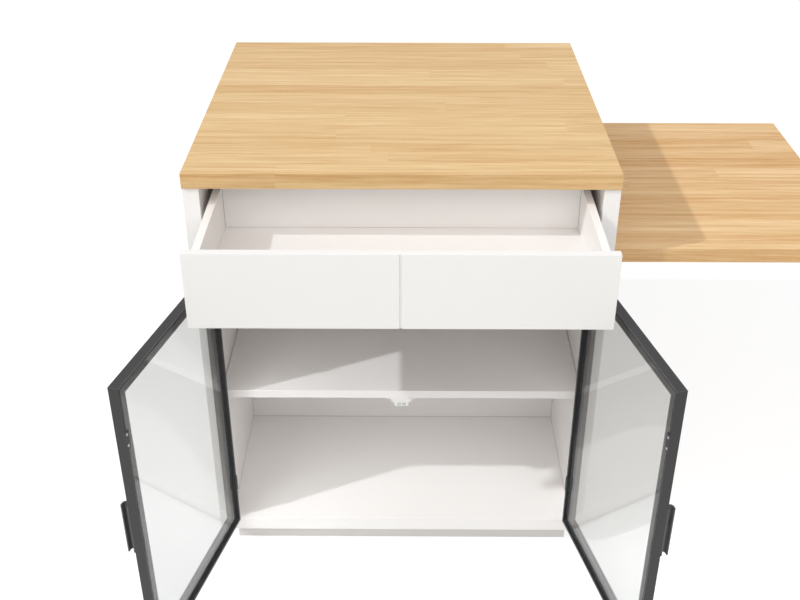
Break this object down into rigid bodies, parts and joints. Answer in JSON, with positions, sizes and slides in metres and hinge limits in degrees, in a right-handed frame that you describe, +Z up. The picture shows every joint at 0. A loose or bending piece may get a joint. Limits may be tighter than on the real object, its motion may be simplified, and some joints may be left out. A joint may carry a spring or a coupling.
{
  "type": "kitchen island unit",
  "caption": "Free-standing kitchen island with a wood worktop, a wide drawer, glass doors over a shelf, an open rear bay and a folding side leaf.",
  "frame": {"origin": "on the floor under the middle of the cabinet, on the lower face of the plinth's brace", "axes": "+Z up, +X to the side with the leaf, -Y to the front with the drawer and the doors"},
  "size_m": [1.3827, 1.0649, 0.935],
  "materials": {
    "white_board": "matt white lacquer on board",
    "white_panel": "thin white panel",
    "oiled_wood": "oiled staves of light wood",
    "dark_aluminium": "dark grey anodised, satin",
    "dark_steel": "dark grey, satin",
    "zinc_steel": "zinc plated",
    "ball_steel": "polished balls in a plated cage",
    "bright_steel": "zinc plated",
    "white_plastic": "moulded white plastic",
    "magnet": "dull grey",
    "white_steel": "white powder coat",
    "clear_glass": "clear",
    "black_tape": "black foam tape"
  },
  "bodies": {
    "cabinet": {"worktop": "oiled_wood", "side_panel_left": "white_board", "side_panel_right": "white_board", "bottom_panel": "white_board", "divider_panel": "white_board", "centre_partition": "white_panel", "front_shelf": "white_board", "rear_shelf": "white_board", "top_rails": "white_board", "plinth_long_boards": "white_board", "plinth_cross_boards": "white_board", "shelf_pins": "bright_steel", "cam_locks": "bright_steel", "cam_bolts": "bright_steel", "cabinet_screws": "bright_steel", "catch_housing": "white_plastic", "catch_magnets": "magnet", "runner_cabinet_left": "zinc_steel", "runner_cabinet_right": "zinc_steel", "hinge_cabinet_plates": "dark_steel", "hinge_pins": "bright_steel", "bracket_wall_legs": "white_steel", "bracket_pivot_pins": "bright_steel"},
    "drawer": {"drawer_front": "white_board", "drawer_side_left": "white_board", "drawer_side_right": "white_board", "drawer_back": "white_board", "drawer_floor": "white_panel", "runner_drawer_left": "zinc_steel", "runner_drawer_right": "zinc_steel", "drawer_screws": "bright_steel"},
    "runner_middle_left": {"runner_middle_left": "zinc_steel", "runner_balls_left": "ball_steel"},
    "runner_middle_right": {"runner_middle_right": "zinc_steel", "runner_balls_right": "ball_steel"},
    "left_door": {"door_left_top_rail": "dark_aluminium", "door_left_bottom_rail": "dark_aluminium", "door_left_hinge_stile": "dark_aluminium", "door_left_free_stile": "dark_aluminium", "door_left_glass": "clear_glass", "door_left_glass_tape": "black_tape", "door_left_handle": "dark_aluminium", "door_left_keeper_plates": "dark_steel", "door_left_screws": "bright_steel", "door_left_hinge_plates": "dark_steel"},
    "right_door": {"door_right_top_rail": "dark_aluminium", "door_right_bottom_rail": "dark_aluminium", "door_right_hinge_stile": "dark_aluminium", "door_right_free_stile": "dark_aluminium", "door_right_glass": "clear_glass", "door_right_glass_tape": "black_tape", "door_right_handle": "dark_aluminium", "door_right_keeper_plates": "dark_steel", "door_right_screws": "bright_steel", "door_right_hinge_plates": "dark_steel"},
    "leaf": {"leaf_board": "oiled_wood", "bracket_leaf_legs": "white_steel", "leaf_fasteners": "bright_steel"},
    "lower_links": {"bracket_lower_links": "white_steel"},
    "upper_links": {"bracket_upper_links": "white_steel"}
  },
  "joints": [
    {"name": "drawer_slide", "type": "slide", "parent": "cabinet", "child": "drawer", "axis": [0, -1, 0], "range_m": [-0.198, 0.07]},
    {"name": "runner_left_slide", "type": "slide", "parent": "cabinet", "child": "runner_middle_left", "axis": [0, -1, 0], "range_m": [-0.099, 0.035]},
    {"name": "runner_right_slide", "type": "slide", "parent": "cabinet", "child": "runner_middle_right", "axis": [0, -1, 0], "range_m": [-0.099, 0.035]},
    {"name": "left_door_hinge", "type": "hinge", "parent": "cabinet", "child": "left_door", "pos_m": [-0.3705, -0.349, 0.411], "axis": [0, 0, 1], "range_deg": [-4.5, 105.5]},
    {"name": "right_door_hinge", "type": "hinge", "parent": "cabinet", "child": "right_door", "pos_m": [0.3705, -0.349, 0.411], "axis": [0, 0, -1], "range_deg": [-6, 104]},
    {"name": "leaf_hinge", "type": "hinge", "parent": "cabinet", "child": "leaf", "pos_m": [0.422, 0, 0.708], "axis": [0, 1, 0], "range_deg": [0, 90]},
    {"name": "lower_link_pivot", "type": "hinge", "parent": "cabinet", "child": "lower_links", "pos_m": [0.422, 0, 0.609], "axis": [0, 1, 0], "range_deg": [-53.2, 0]},
    {"name": "upper_link_pivot", "type": "hinge", "parent": "leaf", "child": "upper_links", "pos_m": [0.554, 0, 0.708], "axis": [0, 1, 0], "range_deg": [0, 36.9]}
  ],
  "couplings": [
    {"joint": "runner_left_slide", "follows": "drawer_slide", "ratio": 0.5},
    {"joint": "runner_right_slide", "follows": "drawer_slide", "ratio": 0.5},
    {"joint": "lower_link_pivot", "follows": "leaf_hinge", "ratio": -0.5903},
    {"joint": "upper_link_pivot", "follows": "leaf_hinge", "ratio": 0.4097}
  ]
}
